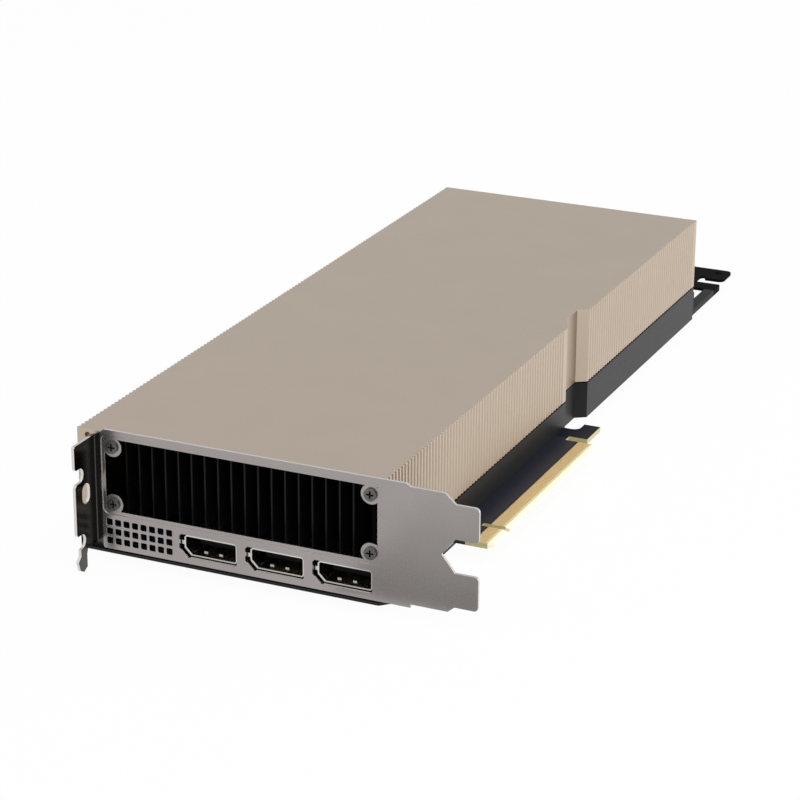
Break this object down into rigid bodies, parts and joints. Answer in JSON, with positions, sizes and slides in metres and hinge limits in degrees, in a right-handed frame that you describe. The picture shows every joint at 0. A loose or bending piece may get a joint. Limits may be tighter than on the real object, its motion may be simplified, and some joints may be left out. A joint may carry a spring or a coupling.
{
  "type": "passive accelerator card",
  "caption": "Passive dual-slot plug-in accelerator card with fluted gold heat-sink cover, steel bracket with display sockets, gold edge connector and rear extender.",
  "frame": {"origin": "the edge connector's datum: its leading edge, the centre of its key notch and the component side of the board", "axes": "+X out of the card towards the slot, +Y along the card from the bracket to the rear, +Z from the board towards the heat-sink cover"},
  "size_m": [0.1253, 0.3257, 0.0417],
  "materials": {
    "nickel_steel": "nickel-plated sheet steel, satin bright",
    "screw_steel": "plated steel screws",
    "champagne_aluminium": "champagne-gold anodised aluminium, satin",
    "black_frame": "black coated cast aluminium, satin",
    "black_fins": "dark aluminium fins",
    "carrier_laminate": "green-black laminate",
    "silicon": "bare silicon",
    "chip_plastic": "black moulding compound",
    "thermal_pad": "soft grey thermal pad",
    "ferrite": "pressed ferrite",
    "capacitor_case": "moulded tantalum capacitor case",
    "board_laminate": "navy-black solder mask",
    "contact_gold": "gold-plated copper contacts",
    "black_backplate": "black coated aluminium",
    "black_screw": "black steel screws",
    "spring_steel": "spring steel",
    "socket_nylon": "black nylon",
    "tinned_brass": "tinned brass pins",
    "black_steel": "black coated sheet steel",
    "socket_shell": "bright nickel-plated shell"
  },
  "bodies": {
    "root": {"io_bracket": "nickel_steel", "bracket_screws": "screw_steel", "heatsink_cover": "champagne_aluminium", "mid_frame": "black_frame", "fin_stack": "black_fins", "processor_carrier": "carrier_laminate", "processor_die": "silicon", "memory_chips": "chip_plastic", "memory_pads": "thermal_pad", "chokes_front": "ferrite", "power_stages_front": "chip_plastic", "capacitors_front": "capacitor_case", "choke_pad_front": "thermal_pad", "chokes_rear": "ferrite", "power_stages_rear": "chip_plastic", "capacitors_rear": "capacitor_case", "choke_pad_rear": "thermal_pad", "circuit_board": "board_laminate", "edge_contacts_top": "contact_gold", "edge_contacts_bottom": "contact_gold", "backplate": "black_backplate", "backplate_screws": "black_screw", "retainer_plate": "spring_steel", "retainer_screws": "screw_steel", "power_socket": "socket_nylon", "power_pins": "tinned_brass", "rear_extender": "black_steel", "extender_screws": "black_screw", "display_shell_1": "socket_shell", "display_insert_1": "socket_nylon", "display_contacts_1": "contact_gold", "display_shell_2": "socket_shell", "display_insert_2": "socket_nylon", "display_contacts_2": "contact_gold", "display_shell_3": "socket_shell", "display_insert_3": "socket_nylon", "display_contacts_3": "contact_gold"}
  },
  "joints": []
}
